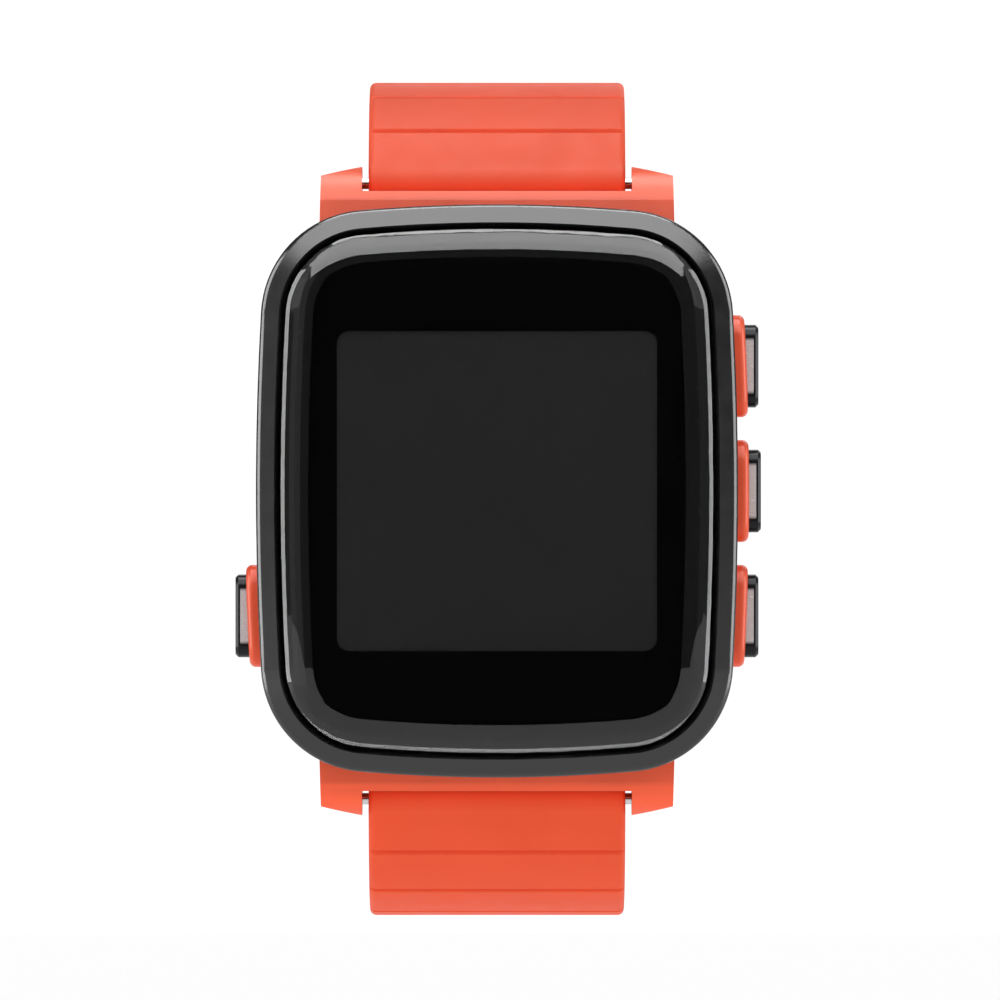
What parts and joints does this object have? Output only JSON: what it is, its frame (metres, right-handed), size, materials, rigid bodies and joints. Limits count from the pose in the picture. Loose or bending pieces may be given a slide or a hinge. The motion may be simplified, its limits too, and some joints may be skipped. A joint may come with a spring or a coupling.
{
  "type": "gps running watch",
  "caption": "Square-faced sports watch with curved glass, side buttons, optical sensor on the back and a quick-release silicone strap with pin buckle.",
  "frame": {"origin": "centre of the flat outer face of the optical sensor window on the case back", "axes": "+Y out of the case back towards the wrist, so the display faces -Y; +Z towards 12 o'clock; +X towards 3 o'clock"},
  "size_m": [0.045, 0.0919, 0.0722],
  "materials": {
    "bezel_black": "semi-gloss black coating on aluminium",
    "glass_clear": "polished, curved border",
    "adhesive_black": "opaque black",
    "display_panel": "dark grey when off",
    "flex_amber": "polyimide",
    "chassis_grey": "glass-filled nylon",
    "case_orange": "satin orange",
    "seal_rubber": "matte",
    "cover_black": "fine texture",
    "screw_steel": "machined",
    "sensor_lens": "tinted, polished",
    "board_green": "solder mask",
    "chip_black": "moulded package",
    "contact_gold": "gold plated",
    "shield_steel": "tinned steel",
    "antenna_ceramic": "fired, silvered top",
    "battery_foil": "laminated foil pouch",
    "switch_metal": "stamped",
    "silicone_orange": "silk matte silicone",
    "buckle_steel": "satin stainless steel",
    "pin_steel": "bright stainless steel",
    "button_metal": "polished dark steel, black outer face"
  },
  "bodies": {
    "case": {"front_bezel": "bezel_black", "cover_glass": "glass_clear", "glass_adhesive": "adhesive_black", "display_module": "display_panel", "display_flex": "flex_amber", "inner_chassis": "chassis_grey", "mid_case": "case_orange", "case_gasket": "seal_rubber", "back_cover": "cover_black", "back_cover_screws": "screw_steel", "sensor_window": "sensor_lens", "sensor_board": "board_green", "sensor_emitters": "chip_black", "charge_contacts": "contact_gold", "main_board": "board_green", "board_screws": "screw_steel", "board_chips": "chip_black", "radio_shield": "shield_steel", "gps_antenna": "antenna_ceramic", "battery": "battery_foil", "vibration_motor": "shield_steel", "side_switches": "switch_metal"},
    "button_upper_right": {"button_upper_right": "button_metal", "button_seal_upper_right": "seal_rubber", "button_clip_upper_right": "pin_steel"},
    "button_middle_right": {"button_middle_right": "button_metal", "button_seal_middle_right": "seal_rubber", "button_clip_middle_right": "pin_steel"},
    "button_lower_right": {"button_lower_right": "button_metal", "button_seal_lower_right": "seal_rubber", "button_clip_lower_right": "pin_steel"},
    "button_lower_left": {"button_lower_left": "button_metal", "button_seal_lower_left": "seal_rubber", "button_clip_lower_left": "pin_steel"},
    "strap_upper": {"strap_upper": "silicone_orange", "spring_bar_upper": "pin_steel", "buckle_bar": "pin_steel"},
    "release_upper": {"release_pin_upper": "pin_steel"},
    "buckle": {"buckle_frame": "buckle_steel"},
    "tongue": {"buckle_tongue": "buckle_steel"},
    "keeper": {"keeper_free": "silicone_orange"},
    "strap_lower": {"strap_lower": "silicone_orange", "spring_bar_lower": "pin_steel"},
    "release_lower": {"release_pin_lower": "pin_steel"}
  },
  "joints": [
    {"name": "press_upper_right", "type": "slide", "parent": "case", "child": "button_upper_right", "axis": [-1, 0, 0], "range_m": [0, 0.00055], "stiffness_N_per_m": 600, "springref_m": -0.003},
    {"name": "press_middle_right", "type": "slide", "parent": "case", "child": "button_middle_right", "axis": [-1, 0, 0], "range_m": [0, 0.00055], "stiffness_N_per_m": 600, "springref_m": -0.003},
    {"name": "press_lower_right", "type": "slide", "parent": "case", "child": "button_lower_right", "axis": [-1, 0, 0], "range_m": [0, 0.00055], "stiffness_N_per_m": 600, "springref_m": -0.003},
    {"name": "press_lower_left", "type": "slide", "parent": "case", "child": "button_lower_left", "axis": [1, 0, 0], "range_m": [0, 0.00055], "stiffness_N_per_m": 600, "springref_m": -0.003},
    {"name": "strap_upper_hinge", "type": "hinge", "parent": "case", "child": "strap_upper", "pos_m": [0, -0.0036, 0.0264], "axis": [1, 0, 0], "range_deg": [-12, 70]},
    {"name": "strap_lower_hinge", "type": "hinge", "parent": "case", "child": "strap_lower", "pos_m": [0, -0.0036, -0.0264], "axis": [-1, 0, 0], "range_deg": [-8, 70]},
    {"name": "release_upper_slide", "type": "slide", "parent": "strap_upper", "child": "release_upper", "axis": [1, 0, 0], "range_m": [0, 0.0014], "stiffness_N_per_m": 700, "springref_m": -0.002},
    {"name": "release_lower_slide", "type": "slide", "parent": "strap_lower", "child": "release_lower", "axis": [-1, 0, 0], "range_m": [0, 0.0014], "stiffness_N_per_m": 700, "springref_m": -0.002},
    {"name": "buckle_hinge", "type": "hinge", "parent": "strap_upper", "child": "buckle", "pos_m": [0, 0.04115, 0.0014], "axis": [1, 0, 0], "range_deg": [-75, 30]},
    {"name": "tongue_hinge", "type": "hinge", "parent": "buckle", "child": "tongue", "pos_m": [0, 0.04115, 0.0014], "axis": [1, 0, 0], "range_deg": [0, 84]},
    {"name": "keeper_slide", "type": "hinge", "parent": "strap_upper", "child": "keeper", "pos_m": [0, 0.00835, 0.0014], "axis": [1, 0, 0], "range_deg": [-1, 24]}
  ]
}
